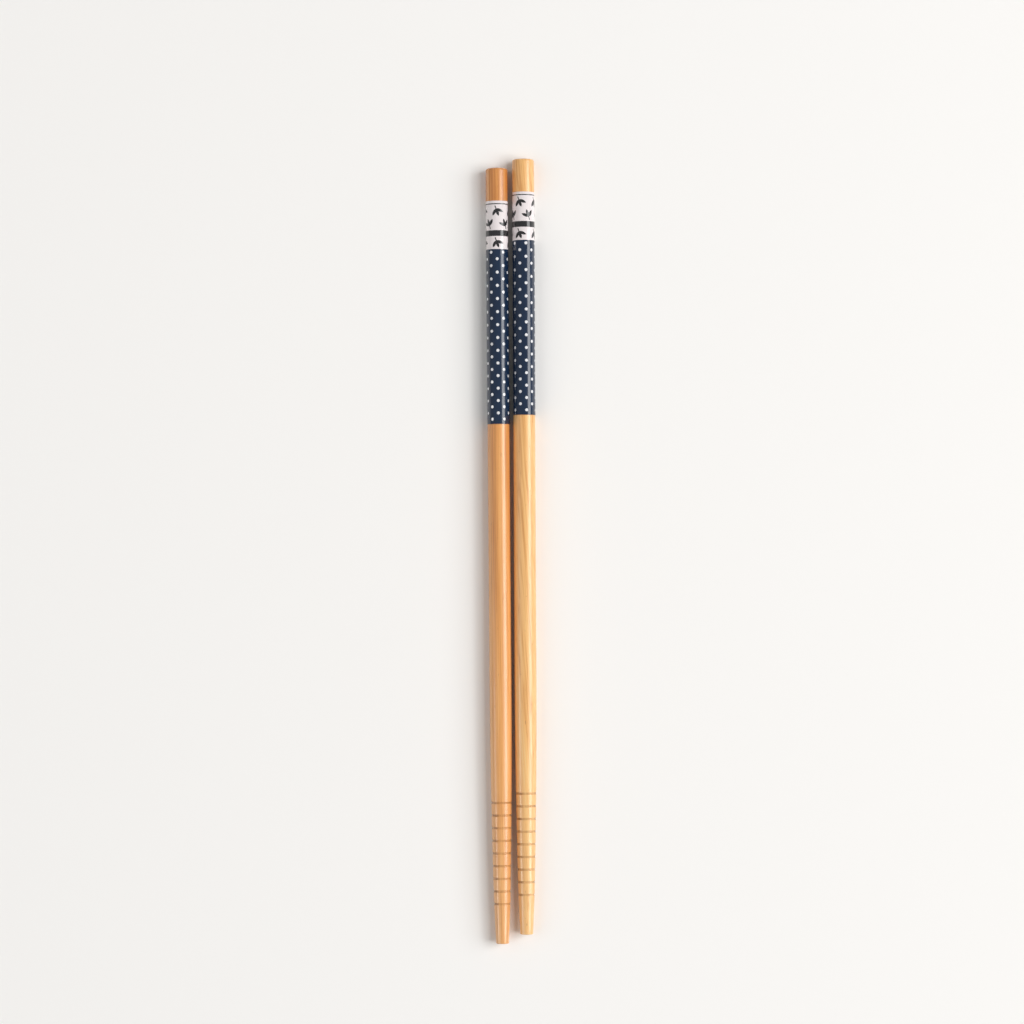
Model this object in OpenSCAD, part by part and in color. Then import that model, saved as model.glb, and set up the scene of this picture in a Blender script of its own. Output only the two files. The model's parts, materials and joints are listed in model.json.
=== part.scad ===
// A pair of wooden chopsticks lying side by side, each with a printed film wrap near its butt end.
// +Z is up, +Y points to the butt ends, and the origin is at the bottom centre of the pair.

/* [Stick] */
// Length from butt to tip
stick_l = 240; // [180:1:300]
// Diameter of the straight shank
shank_d = 6.8; // [5.6:0.1:9]
// Radius round the edge of the butt face
butt_edge = 0.7; // [0.2:0.05:1.5]
// Length over which the shank tapers, measured from the tip
taper_l = 80; // [60:1:110]
// Diameter where the steeper nose begins
nose_d = 5.07; // [4.6:0.01:5.4]
// Length of the steeper nose
nose_l = 12.3; // [8:0.1:16]
// Diameter of the flat tip
tip_d = 4; // [3:0.1:4.5]
// Radius round the edge of the tip
tip_edge = 0.3; // [0.1:0.05:0.6]

/* [Grip grooves] */
// Number of grooves turned into the taper
groove_n = 9; // [0:1:11]
// Distance from one groove to the next
groove_pitch = 3.9; // [2:0.1:4.5]
// Width of a groove at the surface
groove_w = 0.6; // [0.3:0.05:1]
// Depth of a groove
groove_depth = 0.13; // [0.06:0.01:0.25]

/* [Film wrap] */
// Bare wood between the butt face and the film
cap_l = 10.3; // [5:0.1:20]
// Length of the white band
white_l = 15; // [10:0.1:25]
// Length of the navy field
navy_l = 54.2; // [30:0.1:65]
// Thickness of the film
film_t = 0.05; // [0.03:0.01:0.2]
// Thickness of the ink on the film
ink_t = 0.02; // [0.01:0.005:0.05]

/* [Dots] */
// Diameter of a white dot left open in the navy field
dot_d = 0.95; // [0.6:0.05:1.2]
// Columns of dots round the stick
dot_columns = 11; // [6:1:12]
// Distance from the first dot of a column to the second
dot_pitch = 4.16; // [3:0.02:8]
// Shortening of each next step along a column, because the film shrank more towards its lower end
dot_closing = 0.03; // [0:0.005:0.05]
// Distance from the top of the navy field to the centre of the first dot
dot_first = 0.95; // [0.8:0.05:2]
// Least distance from the bottom of the navy field to the centre of a dot
dot_margin = 1; // [0.8:0.1:2]

/* [Leaf sprigs] */
// Sprigs in each of the three rows round the white band
sprig_n = 4; // [1:1:4]
// Turn of each sprig from the stick's length
sprig_tilt = 20; // [-40:1:40]
// Length of a leaf
leaf_l = 2.4; // [1.6:0.1:2.6]
// Width of a leaf
leaf_w = 0.9; // [0.6:0.05:1.1]
// Angle between neighbouring leaves of one sprig
leaf_spread = 46; // [40:1:55]
// Width of a sprig's stem
stem_w = 0.3; // [0.2:0.05:0.5]
// Length of a sprig's stem
stem_l = 1; // [0.6:0.1:1.2]
// Width of the thin line at the butt end of the white band
line_w = 0.3; // [0.2:0.05:0.6]
// White left between that line and the edge of the band
line_inset = 0.8; // [0.4:0.1:1.2]
// Share of the white band that lies on the butt side of the stripe
stripe_share = 0.61; // [0.55:0.01:0.64]
// Width of the stripe
stripe_w = 1.8; // [0.8:0.1:2]

/* [Pair] */
// Gap between the wraps at the butt ends
gap_butts = 1.31; // [0.5:0.01:4]
// Angle by which the sticks close towards the tips
toe_in = 0.19; // [0:0.01:0.3]
// Angle by which the right stick's tip leans to the right
lean = 0.27; // [-1:0.01:1]
// Distance by which the right stick lies nearer the butt end
stagger = 2.85; // [0:0.05:10]
// Turn of the left stick about its own axis
left_roll = 0; // [-180:1:180]
// Turn of the right stick about its own axis
right_roll = 20; // [-180:1:180]

/* [Hidden] */
$fn = 96;
arc_steps = 6;
taper_steps = 10;

shank_r = shank_d / 2;
film_r = shank_r + film_t;
wrap_r = film_r + ink_t;
film_l = white_l + navy_l;

// The taper is an arc tangent to the shank, here as its parabola, down to where the nose begins.
taper_start = stick_l - taper_l;
nose_start = stick_l - nose_l;
function taper_r(z) = shank_r - (shank_d - nose_d) / 2 * pow((z - taper_start) / (nose_start - taper_start), 2);

// A groove's round section has this radius and cuts to the groove's width at the surface.
groove_r = (pow(groove_w / 2, 2) + pow(groove_depth, 2)) / (2 * groove_depth);

// Distance of a dot from the top of the navy field, where step counts the pitches passed.
function dot_along(step) = dot_first + step * dot_pitch - step * (step - 1) / 2 * dot_closing;
row_limit = ceil(2 * navy_l / dot_pitch);

// A leaf is the shape that two equal circles share.
leaf_r = (pow(leaf_l, 2) + pow(leaf_w, 2)) / (4 * leaf_w);

// The pair is centred on its own outer box, whose sides touch a shank at the butt or where the taper starts.
axis_gap = 2 * wrap_r + gap_butts;
left_lean = lean + toe_in;
left_reach = shank_r + max(0, -taper_start * sin(left_lean));
right_reach = shank_r + max(0, taper_start * sin(lean));
left_x = (left_reach - right_reach - axis_gap) / 2;
right_x = left_x + axis_gap;
left_y = (stick_l - stagger) / 2;
right_y = left_y + stagger;

// Half of the stick's section, turned about Z: butt at the origin, tip at the far end.
module stick_section() {
    butt_arc = [for (i = [0:arc_steps]) let (a = -90 + 90 * i / arc_steps)
        [shank_r - butt_edge + butt_edge * cos(a), butt_edge + butt_edge * sin(a)]];
    taper = [for (i = [0:taper_steps]) let (z = taper_start + (nose_start - taper_start) * i / taper_steps)
        [taper_r(z), z]];
    tip_arc = [for (i = [0:arc_steps]) let (a = 90 * i / arc_steps)
        [tip_d / 2 - tip_edge + tip_edge * cos(a), stick_l - tip_edge + tip_edge * sin(a)]];
    difference() {
        polygon(concat([[0, 0]], butt_arc, taper, tip_arc, [[0, stick_l]]));
        for (i = [0:1:groove_n - 1]) {
            z = nose_start - i * groove_pitch;
            translate([taper_r(z) - groove_depth + groove_r, z]) circle(r = groove_r);
        }
    }
}

module stick() {
    color("#d9a062") rotate_extrude() stick_section();
}

// A thin sleeve round the shank, from inner_r outwards.
module sleeve(inner_r, wall, from, length) {
    rotate_extrude() translate([inner_r, from]) square([wall, length]);
}

module film() {
    color("#e2dad9") sleeve(shank_r, film_t, cap_l, film_l);
}

module dot(angle, z) {
    rotate([0, 0, angle]) translate([shank_r / 2, 0, z]) rotate([0, 90, 0])
        cylinder(d = dot_d, h = shank_r);
}

// The navy field has a round opening at each dot, where the white film shows. Every second column
// starts half a pitch lower, and the seam of the film, where the columns meet, is underneath.
module navy_print() {
    field_start = cap_l + white_l;
    seam_angle = -90;
    color("#2b394e") difference() {
        sleeve(film_r, ink_t, field_start, navy_l);
        for (column = [0:dot_columns - 1]) {
            offset = (column % 2) / 2;
            for (row = [0:row_limit]) {
                if (dot_along(row + offset) <= navy_l - dot_margin)
                    dot(seam_angle + (column + 0.5) * 360 / dot_columns, field_start + dot_along(row + offset));
            }
        }
    }
}

module leaf() {
    translate([0, leaf_l / 2]) intersection() {
        translate([leaf_r - leaf_w / 2, 0]) circle(r = leaf_r);
        translate([leaf_w / 2 - leaf_r, 0]) circle(r = leaf_r);
    }
}

module sprig() {
    translate([0, (stem_l - leaf_l) / 2]) {
        for (i = [-1:1]) rotate(i * leaf_spread) leaf();
        translate([-stem_w / 2, -stem_l]) square([stem_w, stem_l + stem_w]);
    }
}

// Three staggered rows of sprigs, turned end for end from row to row. A thin line lies before them and
// a stripe between the second and the third.
module leaf_print() {
    line_end = line_inset + line_w;
    stripe_start = stripe_share * white_l;
    upper = stripe_start - line_end;
    row_at = [line_end + upper / 4, line_end + upper * 3 / 4, (stripe_start + stripe_w + white_l) / 2];
    color("#28282a") {
        intersection() {
            sleeve(film_r, ink_t, cap_l + line_end, white_l - line_end - line_inset / 2);
            for (row = [0:2], i = [0:sprig_n - 1])
                rotate([0, 0, (i + row / 2) * 360 / sprig_n])
                    translate([shank_r / 2, 0, cap_l + row_at[row]])
                        rotate([90, 0, 90]) rotate(sprig_tilt + 180 * row) linear_extrude(shank_r) sprig();
        }
        sleeve(film_r, ink_t, cap_l + line_inset, line_w);
        sleeve(film_r, ink_t, cap_l + stripe_start, stripe_w);
    }
}

module lay_left() {
    translate([left_x, left_y, wrap_r]) rotate([0, 0, left_lean]) rotate([90, 0, 0]) rotate(left_roll) children();
}

module lay_right() {
    translate([right_x, right_y, wrap_r]) rotate([0, 0, lean]) rotate([90, 0, 0]) rotate(right_roll) children();
}

lay_left() stick();  // left_stick
lay_right() stick();  // right_stick
lay_left() film();  // left_film
lay_right() film();  // right_film
lay_left() navy_print();  // left_navy_print
lay_right() navy_print();  // right_navy_print
lay_left() leaf_print();  // left_leaf_print
lay_right() leaf_print();  // right_leaf_print
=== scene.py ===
"""Dresses a pair of turned bamboo chopsticks that lie side by side, each with a printed film wrap.

Every piece is modelled standing on its butt end along +Z, in metres from sizes given in millimetres.
It is then laid down at the butt face that the frame's record gives for its stick.
"""

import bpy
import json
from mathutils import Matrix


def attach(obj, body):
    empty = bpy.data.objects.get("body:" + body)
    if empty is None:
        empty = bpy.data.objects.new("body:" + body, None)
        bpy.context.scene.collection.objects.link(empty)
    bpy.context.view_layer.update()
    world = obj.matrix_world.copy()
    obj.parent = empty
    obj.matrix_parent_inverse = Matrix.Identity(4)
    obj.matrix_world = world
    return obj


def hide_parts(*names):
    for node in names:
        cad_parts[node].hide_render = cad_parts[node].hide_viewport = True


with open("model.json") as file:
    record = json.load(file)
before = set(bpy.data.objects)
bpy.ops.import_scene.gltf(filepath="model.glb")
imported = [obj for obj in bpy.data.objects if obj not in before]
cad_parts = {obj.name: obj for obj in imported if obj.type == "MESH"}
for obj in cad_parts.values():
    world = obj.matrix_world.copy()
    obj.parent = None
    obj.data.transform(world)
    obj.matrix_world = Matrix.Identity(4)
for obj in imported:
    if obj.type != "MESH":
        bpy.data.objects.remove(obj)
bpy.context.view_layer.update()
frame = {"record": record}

import json
import logging
import math
from collections.abc import Callable, Sequence
from dataclasses import dataclass, field
from enum import Enum

import bmesh
import bpy
from mathutils import Matrix, Vector

log = logging.getLogger("chopsticks")
MM = 0.001
BODY = "root"

Point = tuple[float, float]
Colour = tuple[float, float, float, float]
Feed = float | Sequence[float] | bpy.types.NodeSocket


class Side(Enum):
    """Which stick of the pair a piece belongs to."""

    LEFT = "left"
    RIGHT = "right"


class Slot(Enum):
    """The record's material slots."""

    WOOD = "wood"
    FILM = "white_film"
    NAVY = "navy_ink"
    BLACK = "black_ink"


def paint(red: float, green: float, blue: float) -> Colour:
    """Turns a colour as a screen shows it into the linear one that a shader takes.

    Args:
        red: Red from 0 to 255.
        green: Green from 0 to 255.
        blue: Blue from 0 to 255.

    Returns:
        The linear colour with full opacity.
    """
    parts = [c / 255 for c in (red, green, blue)]
    linear = [c / 12.92 if c <= 0.04045 else ((c + 0.055) / 1.055) ** 2.4 for c in parts]
    return (linear[0], linear[1], linear[2], 1.0)


# Work at the bench: small helpers round Blender's own operators.


def pick(*pieces: bpy.types.Object) -> None:
    """Selects these pieces alone, in object mode, with the first one active.

    Args:
        pieces: The pieces to select.
    """
    if bpy.context.object and bpy.context.object.mode != "OBJECT":
        bpy.ops.object.mode_set(mode="OBJECT")
    bpy.ops.object.select_all(action="DESELECT")
    for piece in pieces:
        piece.select_set(True)
    if pieces:
        bpy.context.view_layer.objects.active = pieces[0]


def edit(piece: bpy.types.Object) -> None:
    """Opens a piece in edit mode with all of it selected.

    Args:
        piece: The piece to open.
    """
    pick(piece)
    bpy.ops.object.mode_set(mode="EDIT")
    bpy.ops.mesh.select_mode(type="VERT")
    bpy.ops.mesh.select_all(action="SELECT")


def select_edges(piece: bpy.types.Object, test: Callable[[Vector, Vector], bool]) -> None:
    """Selects the edges that pass a test on their two ends, in edit mode.

    Args:
        piece: The piece that is open in edit mode.
        test: Takes the two end points and says whether the edge is wanted.
    """
    bpy.ops.mesh.select_mode(type="EDGE")
    bpy.ops.mesh.select_all(action="DESELECT")
    mesh = bmesh.from_edit_mesh(piece.data)
    for edge in mesh.edges:
        edge.select_set(test(edge.verts[0].co, edge.verts[1].co))
    bmesh.update_edit_mesh(piece.data)


def apply_modifier(piece: bpy.types.Object, kind: str, **settings: object) -> None:
    """Adds a modifier with its settings and applies it.

    Args:
        piece: The piece that takes the modifier.
        kind: The modifier's type.
        settings: Its settings by name.
    """
    pick(piece)
    modifier = piece.modifiers.new(kind.title(), kind)
    for name, value in settings.items():
        setattr(modifier, name, value)
    bpy.ops.object.modifier_apply(modifier=modifier.name)


def fix_place(piece: bpy.types.Object, matrix: Matrix) -> None:
    """Moves a piece by a matrix and writes its place into its mesh.

    Args:
        piece: The piece to move.
        matrix: The move, in world space.
    """
    pick(piece)
    bpy.context.view_layer.update()
    piece.matrix_world = matrix @ piece.matrix_world
    bpy.ops.object.transform_apply(location=True, rotation=True, scale=True)


def copy_of(piece: bpy.types.Object, name: str) -> bpy.types.Object:
    """Copies a piece together with its mesh.

    Args:
        piece: The piece to copy.
        name: The copy's name.

    Returns:
        The copy.
    """
    copy = piece.copy()
    copy.data = piece.data.copy()
    copy.name = copy.data.name = name
    bpy.context.scene.collection.objects.link(copy)
    return copy


def joined(pieces: Sequence[bpy.types.Object], name: str) -> bpy.types.Object:
    """Joins pieces into the first one.

    Args:
        pieces: The pieces to join.
        name: The name of what they become.

    Returns:
        The joined piece.
    """
    pick(*pieces)
    if len(pieces) > 1:
        bpy.ops.object.join()
    piece = bpy.context.object
    piece.name = piece.data.name = name
    return piece


def close_up(piece: bpy.types.Object) -> None:
    """Merges doubled points and turns the faces outwards.

    Args:
        piece: The piece to tidy.
    """
    edit(piece)
    bpy.ops.mesh.remove_doubles(threshold=0.0008 * MM)
    bpy.ops.mesh.normals_make_consistent(inside=False)
    bpy.ops.object.mode_set(mode="OBJECT")


def smooth(piece: bpy.types.Object, angle: float) -> None:
    """Shades a piece smooth, apart from edges sharper than an angle in degrees."""
    pick(piece)
    bpy.ops.object.shade_smooth_by_angle(angle=math.radians(angle))


def true_round(piece: bpy.types.Object) -> None:
    """Gives the faces that lie round the Z axis the normals of a true cylinder, so that a highlight runs straight.

    Args:
        piece: A thin layer that stands round the Z axis.
    """
    mesh = piece.data
    normals: list[Vector] = []
    for face in mesh.polygons:
        for corner in face.loop_indices:
            point = mesh.vertices[mesh.loops[corner].vertex_index].co
            outward = Vector((point.x, point.y, 0)).normalized()
            facing = face.normal.dot(outward)
            normals.append(outward * math.copysign(1, facing) if abs(facing) > 0.9 else face.normal.copy())
    mesh.normals_split_custom_set(normals)


def sleeve(name: str, radius: float, wall: float, start: float, length: float, steps: int) -> bpy.types.Object:
    """Makes a thin closed sleeve round the Z axis from an open cylinder that gets a wall.

    Args:
        name: The sleeve's name.
        radius: Radius of its inside, in mm.
        wall: Thickness of its wall, in mm.
        start: Distance of its near rim from the butt, in mm.
        length: Its length, in mm.
        steps: Number of flats round it.

    Returns:
        The sleeve.
    """
    pick()
    bpy.ops.mesh.primitive_cylinder_add(
        vertices=steps,
        radius=(radius + wall) * MM,
        depth=length * MM,
        end_fill_type="NOTHING",
        location=(0, 0, (start + length / 2) * MM),
    )
    piece = bpy.context.object
    piece.name = piece.data.name = name
    fix_place(piece, Matrix.Identity(4))
    apply_modifier(piece, "SOLIDIFY", thickness=wall * MM, offset=-1.0)
    return piece


# Where the two sticks lie.


@dataclass(frozen=True)
class Lay:
    """Where one stick lies: the centre of its butt face, its lean on the table and its turn about itself."""

    side: Side
    butt: Vector
    lean: float
    roll: float

    @classmethod
    def from_record(cls, side: Side, roll: float) -> "Lay":
        """Reads the place of a stick from the butt face in the frame's record.

        Args:
            side: Which stick.
            roll: Its turn about its own axis, in degrees.

        Returns:
            The stick's lay.
        """
        mount = next(m for m in frame["record"]["mounts"] if m["name"] == f"{side.value}_butt")
        across, along, _ = mount["axis"]
        return cls(side, Vector(mount["pos_m"]), math.atan2(-across, along), math.radians(roll))

    def name(self, piece: str) -> str:
        """Names a piece after its stick."""
        return f"{self.side.value}_{piece}"

    def matrix(self) -> Matrix:
        """Gives the move from standing on the butt at the origin to lying in place."""
        turn = Matrix.Rotation(self.lean, 4, "Z") @ Matrix.Rotation(math.pi / 2, 4, "X")
        return Matrix.Translation(self.butt) @ turn @ Matrix.Rotation(self.roll, 4, "Z")

    def settle(self, piece: bpy.types.Object, node: str, slot: Slot) -> bpy.types.Object:
        """Lays a standing piece in place of its node.

        Args:
            piece: The finished piece, standing on the butt end.
            node: The piece's name after the stick's, as the node has it.
            slot: The node's material slot; not used.

        Returns:
            The same piece.
        """
        fix_place(piece, self.matrix())
        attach(piece, BODY)
        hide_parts(self.name(node))
        log.info("%s: %d faces", piece.name, len(piece.data.polygons))
        return piece


# The turned stick.


@dataclass
class TurnedStick:
    """A round stick turned from bamboo, with a long taper, grip grooves and a steeper nose. Sizes in mm."""

    length: float = 240.0
    shank_r: float = 3.4
    butt_edge: float = 0.7
    taper_start: float = 160.0
    nose_start: float = 227.7
    nose_r: float = 2.535
    tip_r: float = 2.0
    tip_edge: float = 0.3
    groove_n: int = 9
    groove_pitch: float = 3.9
    groove_w: float = 0.6
    groove_depth: float = 0.13
    lip: float = 0.007
    steps: int = 96
    groove_half: Sequence[float] = (0.04, 0.12, 0.2, 0.27, 0.31, 0.345, 0.39, 0.46)

    def grooves(self) -> list[float]:
        """Lists the distances of the grooves from the butt, in mm, from the upper one down."""
        return [self.nose_start - i * self.groove_pitch for i in reversed(range(self.groove_n))]

    def plain_radius(self, z: float) -> float:
        """Gives the radius without grooves.

        Args:
            z: Distance from the butt, in mm.

        Returns:
            The radius, in mm.
        """
        if z <= self.taper_start:
            return self.shank_r
        if z <= self.nose_start:
            share = (z - self.taper_start) / (self.nose_start - self.taper_start)
            return self.shank_r - (self.shank_r - self.nose_r) * share**2
        share = (z - self.nose_start) / (self.length - self.tip_edge - self.nose_start)
        return self.nose_r + (self.tip_r - self.nose_r) * share

    def cut(self, away: float) -> float:
        """Gives the depth of a groove, with its lips eased.

        Args:
            away: Distance from the groove's middle, in mm.

        Returns:
            The depth, in mm.
        """
        radius = ((self.groove_w / 2) ** 2 + self.groove_depth**2) / (2 * self.groove_depth)
        sharp = math.sqrt(max(radius**2 - away**2, 0.0)) - radius + self.groove_depth
        return (sharp + math.sqrt(sharp**2 + 4 * self.lip**2)) / 2

    def profile(self) -> list[Point]:
        """Lists the points of the half section as radius and distance from the butt, in mm."""
        edge, arc = self.butt_edge, [math.radians(-90 + 90 * i / 9) for i in range(10)]
        points = [(0.0, 0.0)]
        points += [(self.shank_r - edge + edge * math.cos(a), edge + edge * math.sin(a)) for a in arc]
        points += [(self.shank_r, z) for z in (40.0, 80.0, 120.0)]
        upper = self.grooves()[0] - 1.5
        rows = [self.taper_start + (upper - self.taper_start) * i / 9 for i in range(10)]
        points += [(self.plain_radius(z), z) for z in rows]
        across = [-u for u in reversed(self.groove_half)] + list(self.groove_half)
        for middle in self.grooves():
            points += [(self.plain_radius(middle + u) - self.cut(u), middle + u) for u in across]
        edge = self.tip_edge
        tip = [math.radians(90 * i / 5) for i in range(6)]
        points += [(self.plain_radius(z), z) for z in (231.0, 235.5)]
        points += [
            (self.tip_r - edge + edge * math.cos(a), self.length - edge + edge * math.sin(a)) for a in tip
        ]
        return points + [(0.0, self.length)]

    def build(self) -> bpy.types.Object:
        """Draws the half section point by point and spins it round.

        Returns:
            The stick, standing on its butt, with the grooves marked by an attribute.
        """
        pick()
        bpy.ops.mesh.primitive_plane_add(size=MM)
        piece = bpy.context.object
        edit(piece)
        bpy.ops.mesh.merge(type="CENTER")
        points = self.profile()
        for here, there in zip(points, points[1:]):
            step = ((there[0] - here[0]) * MM, 0, (there[1] - here[1]) * MM)
            bpy.ops.mesh.extrude_region_move(TRANSFORM_OT_translate={"value": step})
        bpy.ops.mesh.select_all(action="SELECT")
        bpy.ops.mesh.spin(steps=self.steps, angle=2 * math.pi, center=(0, 0, 0), axis=(0, 0, 1))
        close_up(piece)
        self.mark_grooves(piece)
        smooth(piece, 38)
        return piece

    def mark_grooves(self, piece: bpy.types.Object) -> None:
        """Writes how deep in a groove each point lies, from 0 outside to 1 at the bottom.

        Args:
            piece: The stick.
        """
        mark = piece.data.attributes.new("groove", "FLOAT", "POINT")
        middles = self.grooves()
        for vertex, entry in zip(piece.data.vertices, mark.data):
            away = min(abs(vertex.co.z / MM - middle) for middle in middles)
            entry.value = max(0.0, 1 - (away / 0.4) ** 2) if vertex.co.xy.length > MM else 0.0


# The wrap and its prints.


@dataclass
class FilmWrap:
    """The clear-coated white film that is shrunk on the shank, a sleeve with eased rims. Sizes in mm."""

    radius: float = 3.4
    wall: float = 0.05
    start: float = 10.3
    length: float = 69.2
    ease: float = 0.015

    def build(self) -> bpy.types.Object:
        """Makes the sleeve and eases its four rim edges.

        Returns:
            The film, standing.
        """
        piece = sleeve("film", self.radius, self.wall, self.start, self.length, 96)
        apply_modifier(
            piece, "BEVEL", width=self.ease * MM, segments=2, limit_method="ANGLE", angle_limit=math.radians(60)
        )
        close_up(piece)
        smooth(piece, 50)
        return piece


@dataclass
class NavyPrint:
    """The navy field, an ink layer with a round opening at each dot. Sizes in mm."""

    radius: float = 3.45
    ink: float = 0.02
    start: float = 25.3
    length: float = 54.2
    dot_d: float = 0.95
    columns: int = 11
    pitch: float = 4.16
    closing: float = 0.03
    first: float = 0.95
    margin: float = 1.0
    across: int = 4
    down: int = 8

    @property
    def column_w(self) -> float:
        """Width of one column of dots."""
        return 2 * math.pi * self.radius / self.columns

    def along(self, step: float) -> float:
        """Gives the distance from the top of the field after so many pitches, which close as the film shrank."""
        return self.first + step * self.pitch - step * (step - 1) / 2 * self.closing

    def tile(self, dotted: bool) -> bpy.types.Object:
        """Makes one flat tile of the field, whose edges match those of its neighbours.

        Args:
            dotted: Whether the tile has an opening in its middle.

        Returns:
            The tile, flat and centred on the origin.
        """
        wide, high = self.column_w / 2 * MM, self.pitch / 2 * MM
        pick()
        bpy.ops.mesh.primitive_plane_add(size=2)
        piece = bpy.context.object
        edit(piece)
        bpy.ops.transform.resize(value=(wide, high, 1))
        if dotted:
            bpy.ops.mesh.delete(type="ONLY_FACE")
        select_edges(piece, lambda a, b: abs(a.y - b.y) < 1e-9)
        bpy.ops.mesh.subdivide(number_cuts=self.across - 1)
        select_edges(piece, lambda a, b: abs(a.x - b.x) < 1e-9)
        bpy.ops.mesh.subdivide(number_cuts=self.down - 1)
        if dotted:
            bpy.ops.mesh.select_all(action="DESELECT")
            bpy.ops.mesh.primitive_circle_add(vertices=2 * (self.across + self.down), radius=self.dot_d / 2 * MM)
            bpy.ops.mesh.select_all(action="SELECT")
            bpy.ops.mesh.bridge_edge_loops(number_cuts=2, interpolation="LINEAR")
        bpy.ops.object.mode_set(mode="OBJECT")
        return piece

    def place_tile(self, tile: bpy.types.Object, column: int, step: float) -> bpy.types.Object:
        """Copies a tile to its place in the flat field. Its edges follow the closing pitch and its dot stays round.

        Args:
            tile: The tile to copy.
            column: Number of the column.
            step: Pitches from the first dot to the tile's middle.

        Returns:
            The copy.
        """
        copy = copy_of(tile, "field")
        middle = (column + 0.5 - self.columns / 2) * self.column_w * MM
        for vertex in copy.data.vertices:
            on_dot = abs(vertex.co.xy.length - self.dot_d / 2 * MM) < 1e-3 * MM
            away = vertex.co.y / MM
            down = self.along(step) + away if on_dot else self.along(step + away / self.pitch)
            vertex.co = (vertex.co.x + middle, down * MM, 0)
        return copy

    def build(self) -> bpy.types.Object:
        """Lays the tiles out flat, trims the field to its length, rolls it up and gives it its thickness.

        Returns:
            The print, standing.
        """
        dotted, plain = self.tile(True), self.tile(False)
        tiles: list[bpy.types.Object] = []
        for column in range(self.columns):
            step = (column % 2) / 2
            tiles.append(self.place_tile(plain, column, step - 1))
            while self.along(step) <= self.length - self.margin:
                tiles.append(self.place_tile(dotted, column, step))
                step += 1
            tiles.append(self.place_tile(plain, column, step))
        for spent in (dotted, plain):
            bpy.data.objects.remove(spent)
        piece = joined(tiles, "field")
        edit(piece)
        bpy.ops.mesh.remove_doubles(threshold=0.002 * MM)
        for end, spare in ((0.0, {"clear_inner": True}), (self.length * MM, {"clear_outer": True})):
            bpy.ops.mesh.select_all(action="SELECT")
            bpy.ops.mesh.bisect(plane_co=(0, end, 0), plane_no=(0, 1, 0), threshold=1e-7, **spare)
        fix_place(piece, Matrix.Rotation(math.pi / 2, 4, "X"))
        self.roll_up(piece)
        return piece

    def roll_up(self, piece: bpy.types.Object) -> None:
        """Rolls the flat field round the stick with its seam underneath.

        Args:
            piece: The flat field, upright in the XZ plane.
        """
        apply_modifier(piece, "SIMPLE_DEFORM", deform_method="BEND", deform_axis="Z", angle=2 * math.pi)
        turn = Matrix.Rotation(math.pi, 4, "Z") @ Matrix.Translation((0, -self.radius * MM, 0))
        fix_place(piece, Matrix.Translation((0, 0, self.start * MM)) @ turn)
        close_up(piece)
        face = piece.data.polygons[0]
        if face.normal.dot(Vector((face.center.x, face.center.y, 0))) < 0:
            piece.data.flip_normals()
        apply_modifier(piece, "SOLIDIFY", thickness=self.ink * MM, offset=1.0, use_even_offset=True)
        smooth(piece, 30)
        true_round(piece)


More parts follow.
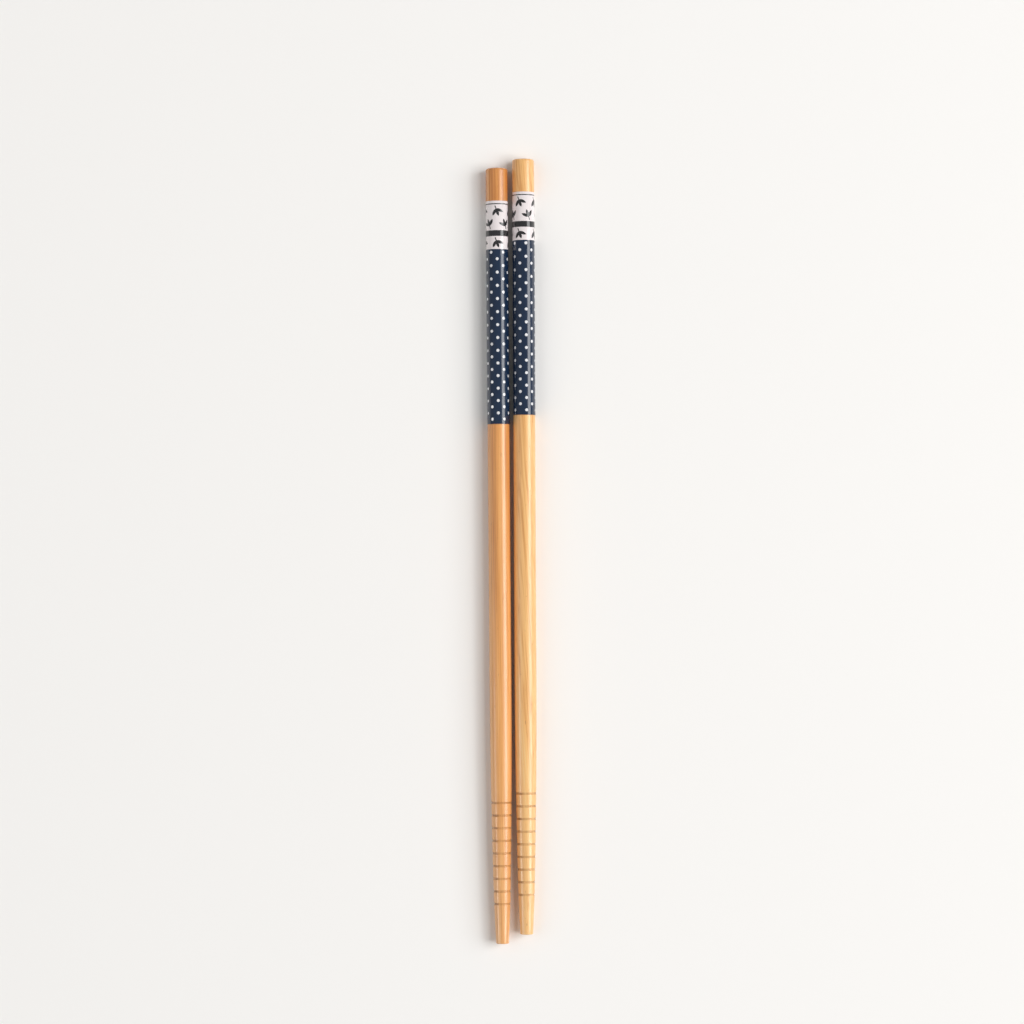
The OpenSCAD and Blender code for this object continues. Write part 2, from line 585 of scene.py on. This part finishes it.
@dataclass
class LeafPrint:
    """The black print on the white band: three rows of leaf sprigs, a thin line and a stripe. Sizes in mm."""

    radius: float = 3.45
    ink: float = 0.02
    start: float = 10.3
    band: float = 15.0
    sprigs: int = 4
    tilt: float = 20.0
    leaf_l: float = 2.4
    leaf_w: float = 0.9
    spread: float = 46.0
    stem_w: float = 0.3
    stem_l: float = 1.0
    line_w: float = 0.3
    line_inset: float = 0.8
    stripe_w: float = 1.8
    stripe_share: float = 0.61

    def cutter(self, name: str, outline: Sequence[Point]) -> bpy.types.Object:
        """Makes a flat outline into an upright block that reaches through the film.

        Args:
            name: The block's name.
            outline: Points of the outline, in mm.

        Returns:
            The block, with its outline in the XY plane.
        """
        pick()
        bpy.ops.mesh.primitive_circle_add(vertices=len(outline), radius=MM, fill_type="NGON")
        piece = bpy.context.object
        piece.name = name
        for vertex, (x, y) in zip(piece.data.vertices, outline):
            vertex.co = (x * MM, y * MM, 1.7 * MM)
        edit(piece)
        bpy.ops.mesh.extrude_region_move(TRANSFORM_OT_translate={"value": (0, 0, 3.4 * MM)})
        close_up(piece)
        return piece

    def leaf(self) -> bpy.types.Object:
        """Makes a leaf's block, the shape that two equal circles share, with its foot at the origin."""
        radius = (self.leaf_l**2 + self.leaf_w**2) / (4 * self.leaf_w)
        rows = [self.leaf_l * i / 12 for i in range(13)]
        half = [math.sqrt(radius**2 - (y - self.leaf_l / 2) ** 2) - radius + self.leaf_w / 2 for y in rows]
        right = list(zip(half, rows))[1:-1]
        left = [(-x, y) for x, y in reversed(right)]
        return self.cutter("leaf", [(0.0, 0.0), *right, (0.0, self.leaf_l), *left])

    def sprig(self) -> bpy.types.Object:
        """Makes the block of one sprig, three leaves on a stem.

        Returns:
            The sprig, with its outline in the XY plane.
        """
        leaf, half = self.leaf(), self.stem_w / 2
        leaves = [copy_of(leaf, "leaf") for _ in range(2)]
        for turned, sign in zip(leaves, (-1, 1)):
            fix_place(turned, Matrix.Rotation(math.radians(sign * self.spread), 4, "Z"))
        box = [(-half, -self.stem_l), (half, -self.stem_l), (half, self.stem_w), (-half, self.stem_w)]
        stem = self.cutter("stem", box)
        for part in (*leaves, stem):
            apply_modifier(leaf, "BOOLEAN", operation="UNION", solver="EXACT", object=part)
            bpy.data.objects.remove(part)
        fix_place(leaf, Matrix.Translation((0, (self.stem_l - self.leaf_l) / 2 * MM, 0)))
        return leaf

    def build(self) -> bpy.types.Object:
        """Cuts the sprigs out of a thin sleeve and adds the line and the stripe.

        Returns:
            The print, standing.
        """
        line_end = self.line_inset + self.line_w
        stripe = self.stripe_share * self.band
        upper = stripe - line_end
        rows = (line_end + upper / 4, line_end + upper * 3 / 4, (stripe + self.stripe_w + self.band) / 2)
        sprig = self.sprig()
        upright = Matrix.Rotation(math.pi / 2, 4, "Z") @ Matrix.Rotation(math.pi / 2, 4, "X")
        blocks: list[bpy.types.Object] = []
        for row, middle in enumerate(rows):
            height = Matrix.Translation((0, 0, (self.start + middle) * MM))
            tilt = Matrix.Rotation(math.radians(self.tilt + 180 * row), 4, "Z")
            for i in range(self.sprigs):
                round_it = Matrix.Rotation((i + row / 2) * 2 * math.pi / self.sprigs, 4, "Z")
                block = copy_of(sprig, "sprig")
                fix_place(block, round_it @ height @ upright @ tilt)
                blocks.append(block)
        bpy.data.objects.remove(sprig)
        cutters = joined(blocks, "sprigs")
        field_l = self.band - line_end - self.line_inset / 2
        piece = sleeve("leaves", self.radius, self.ink, self.start + line_end, field_l, 144)
        apply_modifier(piece, "BOOLEAN", operation="INTERSECT", solver="EXACT", use_self=True, object=cutters)
        bpy.data.objects.remove(cutters)
        rings = ((self.line_inset, self.line_w), (stripe, self.stripe_w))
        lines = [sleeve("line", self.radius, self.ink, self.start + at, wide, 144) for at, wide in rings]
        piece = joined([piece, *lines], "leaves")
        close_up(piece)
        smooth(piece, 30)
        true_round(piece)
        return piece


# Finishes.


class Bench:
    """Adds nodes to one node tree and wires them."""

    def __init__(self, tree: bpy.types.NodeTree) -> None:
        """Takes the tree to work on."""
        self.tree = tree

    def add(self, kind: str, feeds: dict | None = None, **settings: object) -> bpy.types.Node:
        """Adds a node.

        Args:
            kind: The node's type, without the part that all shader nodes share.
            feeds: What each input takes, by name or number: a value or another node's socket.
            settings: The node's own settings by name.

        Returns:
            The node.
        """
        node = self.tree.nodes.new("ShaderNode" + kind)
        for name, value in settings.items():
            setattr(node, name, value)
        self.feed(node, feeds or {})
        return node

    def feed(self, node: bpy.types.Node, feeds: dict) -> None:
        """Sets or links a node's inputs by name or number."""
        for name, value in feeds.items():
            if isinstance(value, bpy.types.NodeSocket):
                self.tree.links.new(value, node.inputs[name])
            else:
                node.inputs[name].default_value = value

    def calc(self, operation: str, *values: Feed) -> bpy.types.NodeSocket:
        """Adds a sum, product or other calculation."""
        return self.add("Math", dict(enumerate(values)), operation=operation).outputs[0]

    def stretch(self, vector: Feed, *by: float) -> bpy.types.NodeSocket:
        """Multiplies a vector by three numbers."""
        return self.add("VectorMath", {0: vector, 1: by}, operation="MULTIPLY").outputs[0]

    def noise(self, vector: Feed, seed: Feed, detail: float = 2.0, rough: float = 0.5) -> bpy.types.NodeSocket:
        """Adds a noise of scale 1 that the seed changes."""
        feeds = {"Vector": vector, "W": seed, "Scale": 1.0, "Detail": detail, "Roughness": rough}
        return self.add("TexNoise", feeds, noise_dimensions="4D").outputs[0]

    def ease(
        self, value: Feed, low: float, high: float, start: float = 0.0, end: float = 1.0
    ) -> bpy.types.NodeSocket:
        """Maps a value smoothly from one range to another.

        Args:
            value: What is mapped.
            low: Value that gives start.
            high: Value that gives end.
            start: Result up to low.
            end: Result from high on.

        Returns:
            The mapped value.
        """
        feeds = {"Value": value, "From Min": low, "From Max": high, "To Min": start, "To Max": end}
        return self.add("MapRange", feeds, interpolation_type="SMOOTHSTEP").outputs[0]

    def mix(self, share: Feed, first: Feed, second: Feed) -> bpy.types.NodeSocket:
        """Mixes two colours."""
        return self.add("Mix", {0: share, 6: first, 7: second}, data_type="RGBA").outputs[2]

    def stick_space(self, lay: Lay, slant: float = 0.0) -> bpy.types.NodeSocket:
        """Gives millimetres from the butt: X across, Y along the stick towards the butt, Z up.

        Args:
            lay: Where the stick lies.
            slant: Extra turn of the pattern on the table, in degrees.

        Returns:
            The coordinates.
        """
        feeds = {
            "Vector": self.add("TexCoord").outputs["Object"],
            "Location": tuple(lay.butt),
            "Rotation": (0, 0, lay.lean + math.radians(slant)),
            "Scale": (MM, MM, MM),
        }
        return self.add("Mapping", feeds, vector_type="TEXTURE").outputs[0]

    def split(self, vector: Feed, axis: str) -> bpy.types.NodeSocket:
        """Takes one part of a vector."""
        return self.add("SeparateXYZ", {0: vector}).outputs[axis]


class GrainGroup:
    """The bamboo's grain as a node group: long soft streaks, fine fibres, bundles and short dark flecks."""

    name = "Bamboo grain"

    def tree(self) -> bpy.types.NodeTree:
        """Makes the group once and hands out the same one from then on.

        Returns:
            The group, which takes a Vector in mm and a Seed, and gives Tone, Fleck and Height.
        """
        if self.name in bpy.data.node_groups:
            return bpy.data.node_groups[self.name]
        tree = bpy.data.node_groups.new(self.name, "ShaderNodeTree")
        tree.interface.new_socket("Vector", in_out="INPUT", socket_type="NodeSocketVector")
        for label, way in (("Seed", "INPUT"), ("Tone", "OUTPUT"), ("Fleck", "OUTPUT"), ("Height", "OUTPUT")):
            tree.interface.new_socket(label, in_out=way, socket_type="NodeSocketFloat")
        bench = Bench(tree)
        entry, result = tree.nodes.new("NodeGroupInput"), tree.nodes.new("NodeGroupOutput")
        place, seed = entry.outputs["Vector"], entry.outputs["Seed"]
        feeds = {"Vector": bench.stretch(place, 0.09, 0.028, 0.09), "W": seed, "Scale": 1.0, "Detail": 2.0}
        sway = bench.add("TexNoise", feeds, noise_dimensions="4D").outputs["Color"]
        shift = bench.add("VectorMath", {0: sway, 1: (0.5, 0.5, 0.5)}, operation="SUBTRACT").outputs[0]
        moved = bench.add("VectorMath", {0: bench.stretch(shift, 1.3, 0, 1.3), 1: place}, operation="ADD").outputs[0]
        broad = bench.noise(bench.stretch(moved, 0.62, 0.011, 0.62), seed, 2.0)
        streak = bench.noise(bench.stretch(moved, 2.1, 0.024, 2.1), seed, 3.0, 0.6)
        fibre = bench.noise(bench.stretch(moved, 4.4, 0.06, 4.4), seed, 2.0)
        feeds = {"Vector": bench.stretch(moved, 1.25, 0.016, 1.25), "W": seed, "Scale": 1.0}
        cells = bench.add("TexVoronoi", feeds, voronoi_dimensions="4D").outputs["Distance"]
        bundle = bench.ease(cells, 0.34, 0.12)
        tone = bench.calc("MULTIPLY_ADD", broad, 0.7, -0.32)
        for mask, weight, level in ((streak, 1.2, -0.52), (fibre, 0.7, -0.3)):
            tone = bench.calc("ADD", tone, bench.calc("MULTIPLY_ADD", mask, weight, level))
        tone = bench.calc("ADD", bench.calc("MULTIPLY_ADD", bundle, 0.22, 0.41), tone)
        fleck = bench.ease(bench.noise(bench.stretch(moved, 3.6, 0.5, 3.6), seed, 2.0, 0.6), 0.66, 0.74)
        height = bench.calc("ADD", bench.calc("MULTIPLY", streak, 0.9), bench.calc("MULTIPLY", fibre, 0.45))
        for label, socket in (("Tone", tone), ("Fleck", fleck), ("Height", height)):
            tree.links.new(socket, result.inputs[label])
        return tree


def new_material(name: str) -> tuple[bpy.types.Material, Bench, bpy.types.Node]:
    """Starts a material.

    Args:
        name: The material's name.

    Returns:
        The material, a bench on its tree and its shader.
    """
    material = bpy.data.materials.new(name)
    material.use_nodes = True
    return material, Bench(material.node_tree), material.node_tree.nodes["Principled BSDF"]


def dress(piece: bpy.types.Object, material: bpy.types.Material) -> None:
    """Gives a piece its material and nothing else."""
    piece.data.materials.clear()
    piece.data.materials.append(material)


@dataclass(frozen=True)
class BambooFinish:
    """Bamboo under a thin satin lacquer, with grooves that the tool has scorched and that are darkened with painted
    shade.

    Slant turns the grain, in degrees. The falloff is painted light: how much the tone rises from the tip to the
    butt, where the painted shade of butt_shade comes on top. The tip is paled with painted light, and painted shade
    darkens the wood along the film's two rims, in mm from the butt.
    """

    name: str
    seed: float
    slant: float
    # Painted light: how far the tone falls off from the tip to the butt.
    painted_light_falloff: float
    light: Colour
    middle: Colour
    dark: Colour
    # Painted light: a paler tint that lightens the tip.
    painted_tip_light: Colour = field(default_factory=lambda: paint(252, 214, 170))
    # The grooves' colour: the tool's scorch together with painted shade.
    burnt_and_shaded: Colour = field(default_factory=lambda: paint(152, 96, 42))
    speck: Colour = field(default_factory=lambda: paint(124, 70, 30))
    # Painted shade on the butt end.
    butt_shade: float = 0.1
    # Where painted shade darkens the wood beside the film's rims, in mm from the butt.
    rims_with_painted_shade: tuple[float, float] = (-10.3, -79.5)

    def material(self, lay: Lay) -> bpy.types.Material:
        """Makes the finish for one stick.

        Args:
            lay: Where the stick lies.

        Returns:
            The material.
        """
        material, bench, shader = new_material(self.name)
        place = bench.stick_space(lay, self.slant)
        group = bench.add("Group", {"Vector": place, "Seed": self.seed}, node_tree=GrainGroup().tree())
        straight = bench.stick_space(lay)
        along = bench.split(straight, "Y")
        # Painted light falloff: the tone rises from the tip to the butt, with painted shade on the butt end on top.
        painted_falloff_tone = bench.ease(along, -200, -20, -self.painted_light_falloff, self.painted_light_falloff)
        shift = bench.calc("ADD", painted_falloff_tone, bench.ease(along, -50, -10, 0, self.butt_shade))
        tone = bench.calc("ADD", group.outputs["Tone"], shift)
        colour = bench.mix(bench.ease(tone, 0.05, 0.5), self.light, self.middle)
        colour = bench.mix(bench.ease(tone, 0.45, 1.0), colour, self.dark)
        colour = bench.mix(bench.calc("MULTIPLY", group.outputs["Fleck"], 0.45), colour, self.speck)
        # Painted light pales the tip end.
        colour = bench.mix(bench.ease(along, -240, -170, 0.12, 0), colour, self.painted_tip_light)
        # Painted shade along the film's two rims.
        for rim in self.rims_with_painted_shade:
            near = bench.calc("ABSOLUTE", bench.calc("SUBTRACT", along, rim))
            colour = bench.mix(bench.ease(near, 0.35, 0.05, 0, 0.4), colour, self.dark)
        # The grooves darken, partly with the tool's scorch and partly with painted shade in the recess.
        scorch_and_shade = self.scorch_and_shade(bench, straight)
        colour = bench.mix(scorch_and_shade, colour, self.burnt_and_shaded)
        rough = bench.calc("ADD", bench.ease(tone, 0.1, 1.0, 0.27, 0.38), bench.calc("MULTIPLY", scorch_and_shade, 0.1))
        feeds = {"Strength": 0.5, "Distance": 0.022 * MM, "Height": group.outputs["Height"]}
        bump = bench.add("Bump", feeds).outputs[0]
        bench.feed(shader, {"Base Color": colour, "Roughness": rough, "Normal": bump})
        bench.feed(shader, {"Specular IOR Level": 1.0, "Coat Weight": 0.15, "Coat Roughness": 0.08})
        return material

    def scorch_and_shade(self, bench: Bench, straight: Feed) -> bpy.types.NodeSocket:
        """Tells how dark the grooves get, partly the tool's scorch and partly painted shade: most on the shaded left
        flank, some at the far right edge, least along the lit top, in patches.

        Args:
            bench: The bench on the material's tree.
            straight: Millimetres from the butt, along the stick.

        Returns:
            A mask, 0 outside the grooves.
        """
        mark = bench.add("Attribute", attribute_name="groove", attribute_type="GEOMETRY").outputs["Fac"]
        cloud = bench.noise(bench.stretch(straight, 0.9, 0.2, 0.9), self.seed + 3, 2.0)
        patch = bench.ease(cloud, 0.35, 0.7, 0.5, 1.0)
        across = bench.split(straight, "X")
        # Painted shade: the left flank, turned from the light, darkest, the far right edge darker, the lit top
        # least.
        left, right = bench.ease(across, -2.3, -0.3, 0.95, 0.42), bench.ease(across, 1.7, 2.8, 0, 0.4)
        flank_shade = bench.calc("MULTIPLY", bench.calc("ADD", left, right), patch)
        return bench.calc("MULTIPLY", bench.ease(mark, 0.0, 0.5), flank_shade)


@dataclass(frozen=True)
class PrintFinish:
    """A glossy layer on the stick: the white film or an ink, through which the wood's grain tells faintly."""

    name: str
    base: Colour
    other: Colour
    rough: float
    grain: float
    lower: Colour | None = None
    split_at: float = -25.3

    def material(self, lay: Lay, seed: float) -> bpy.types.Material:
        """Makes the finish for one stick.

        Args:
            lay: Where the stick lies.
            seed: The seed of the stick's own grain.

        Returns:
            The material.
        """
        material, bench, shader = new_material(lay.name(self.name))
        place = bench.stick_space(lay)
        group = bench.add("Group", {"Vector": place, "Seed": seed}, node_tree=GrainGroup().tree())
        cloud = bench.noise(bench.stretch(place, 0.5, 0.16, 0.5), seed + 7, 3.0, 0.6)
        told = bench.calc("MULTIPLY", group.outputs["Tone"], 0.4)
        share = bench.calc("ADD", bench.ease(cloud, 0.3, 0.7, 0, 0.6), told)
        colour = bench.mix(share, self.base, self.other)
        # The band's warm pinkish white is partly the film's own tint and partly painted reflection of the wood;
        # under the navy field the film is a neutral white.
        if self.lower:
            below = bench.ease(bench.split(place, "Y"), self.split_at + 0.1, self.split_at - 0.1)
            colour = bench.mix(below, colour, self.lower)
        feeds = {"Strength": self.grain, "Distance": 0.012 * MM, "Height": group.outputs["Height"]}
        bump = bench.add("Bump", feeds).outputs[0]
        rough = bench.ease(cloud, 0.3, 0.7, self.rough, self.rough * 1.5)
        bench.feed(shader, {"Base Color": colour, "Roughness": rough, "Normal": bump, "Specular IOR Level": 0.85})
        return material


# The table, the light and the camera.


@dataclass(frozen=True)
class Lamp:
    """A soft rectangular lamp over the pair. Lengths in metres, tilt in degrees from overhead to the right.

    Gloss shows it where it is mirrored, and it lights the surfaces themselves where it casts.
    """

    name: str
    tilt: float
    away: float
    wide: float
    long: float
    watts: float
    along: float = 0.0
    mirrored: bool = True
    casts: bool = True

    def build(self) -> None:
        """Hangs the lamp so that it faces the pair."""
        data = bpy.data.lights.new(self.name, "AREA")
        data.shape, data.size, data.size_y, data.energy = "RECTANGLE", self.wide, self.long, self.watts
        lamp = bpy.data.objects.new(self.name, data)
        bpy.context.scene.collection.objects.link(lamp)
        tilt = math.radians(self.tilt)
        lamp.location = (self.away * math.sin(tilt), self.along, self.away * math.cos(tilt))
        lamp.rotation_euler = (0, tilt, 0)
        lamp.visible_glossy, lamp.visible_diffuse = self.mirrored, self.casts
        log.info("%s: %.1f W", self.name, self.watts)


@dataclass
class Studio:
    """A pale table under plain soft light, seen from above."""

    table: Colour = field(default_factory=lambda: paint(250, 248, 245))
    sky: float = 0.235
    lamps: tuple[Lamp, ...] = (
        Lamp("softbox", 54.0, 3.0, 1.6, 2.1, 44.0, 0.15),
        Lamp("overhead", 33.0, 3.0, 1.6, 2.1, 41.0, mirrored=False),
        Lamp("fill", -45.0, 3.0, 2.2, 2.8, 21.0, mirrored=False),
        Lamp("side_strip", -67.0, 1.0, 0.2, 0.6, 1.9, -0.36, casts=False),
    )
    lens: float = 125.6
    away: float = 1.107
    tilt: float = 1.5
    target: tuple[float, float, float] = (0.00032, 0.01192, 0.00347)

    def build(self) -> None:
        """Sets up the table, the sky, the lamps and the camera."""
        self.build_table()
        self.build_sky()
        for lamp in self.lamps:
            lamp.build()
        self.build_camera()

    def build_table(self) -> None:
        """Lays a wide pale table under the pair."""
        pick()
        bpy.ops.mesh.primitive_plane_add(size=14)
        table = bpy.context.object
        table.name = "table"
        material, bench, shader = new_material("Pale table")
        bench.feed(shader, {"Base Color": self.table, "Roughness": 0.9, "Specular IOR Level": 0.1})
        dress(table, material)

    def build_sky(self) -> None:
        """Makes an even sky, paler towards the horizon as the walls of a white room are."""
        world = bpy.data.worlds.new("Studio sky")
        bpy.context.scene.world = world
        world.use_nodes = True
        bench = Bench(world.node_tree)
        background = world.node_tree.nodes["Background"]
        height = bench.split(bench.add("TexCoord").outputs["Generated"], "Z")
        level = bench.ease(height, 0.02, 0.3, 0.3, self.sky)
        world.node_tree.links.new(level, background.inputs["Color"])

    def build_camera(self) -> None:
        """Hangs the camera over the pair, a little towards the tips."""
        tilt = math.radians(self.tilt)
        camera = bpy.data.objects.new("camera", bpy.data.cameras.new("camera"))
        bpy.context.scene.collection.objects.link(camera)
        camera.data.sensor_width, camera.data.lens = 36.0, self.lens
        camera.data.clip_start, camera.data.clip_end = 0.01, 60.0
        camera.location = Vector(self.target) + self.away * Vector((0, -math.sin(tilt), math.cos(tilt)))
        camera.rotation_euler = (tilt, 0, 0)
        bpy.context.scene.camera = camera
        bpy.context.scene.view_settings.view_transform = "Standard"


@dataclass
class Pair:
    """The two sticks with their wraps. What both have is modelled once and copied."""

    left: Lay
    right: Lay
    left_wood: BambooFinish
    right_wood: BambooFinish
    film: PrintFinish
    navy: PrintFinish
    black: PrintFinish

    def build(self) -> None:
        """Models each piece, lays one in place for each stick and dresses it."""
        models = (
            ("stick", TurnedStick().build(), Slot.WOOD, None),
            ("film", FilmWrap().build(), Slot.FILM, self.film),
            ("navy_print", NavyPrint().build(), Slot.NAVY, self.navy),
            ("leaf_print", LeafPrint().build(), Slot.BLACK, self.black),
        )
        for node, model, slot, finish in models:
            for lay, wood in ((self.left, self.left_wood), (self.right, self.right_wood)):
                piece = lay.settle(copy_of(model, f"{lay.side.value}_{node}_piece"), node, slot)
                dress(piece, finish.material(lay, wood.seed) if finish else wood.material(lay))
            bpy.data.objects.remove(model)


def main() -> None:
    """Builds the pair and the studio."""
    pair = Pair(
        left=Lay.from_record(Side.LEFT, 0),
        right=Lay.from_record(Side.RIGHT, 20),
        left_wood=BambooFinish(
            "Bamboo, left", 1.7, 0, 0.15, paint(254, 196, 128), paint(236, 167, 96), paint(200, 126, 61)
        ),
        right_wood=BambooFinish(
            "Bamboo, right", 9.3, 4, 0.02, paint(253, 219, 157), paint(249, 194, 124), paint(217, 149, 79)
        ),
        # The band's pinkish tint is partly painted reflection of the wood; the last colour is the neutral white
        # under the navy field.
        film=PrintFinish("white film", paint(246, 237, 237), paint(237, 228, 228), 0.12, 0.25, paint(236, 236, 238)),
        navy=PrintFinish("navy ink", paint(19, 37, 62), paint(26, 46, 72), 0.12, 0.25),
        black=PrintFinish("black ink", paint(36, 36, 38), paint(46, 46, 48), 0.14, 0.25),
    )
    pair.build()
    Studio().build()


if __name__ == "__main__":
    logging.basicConfig(level=logging.INFO, format="%(message)s")
    main()
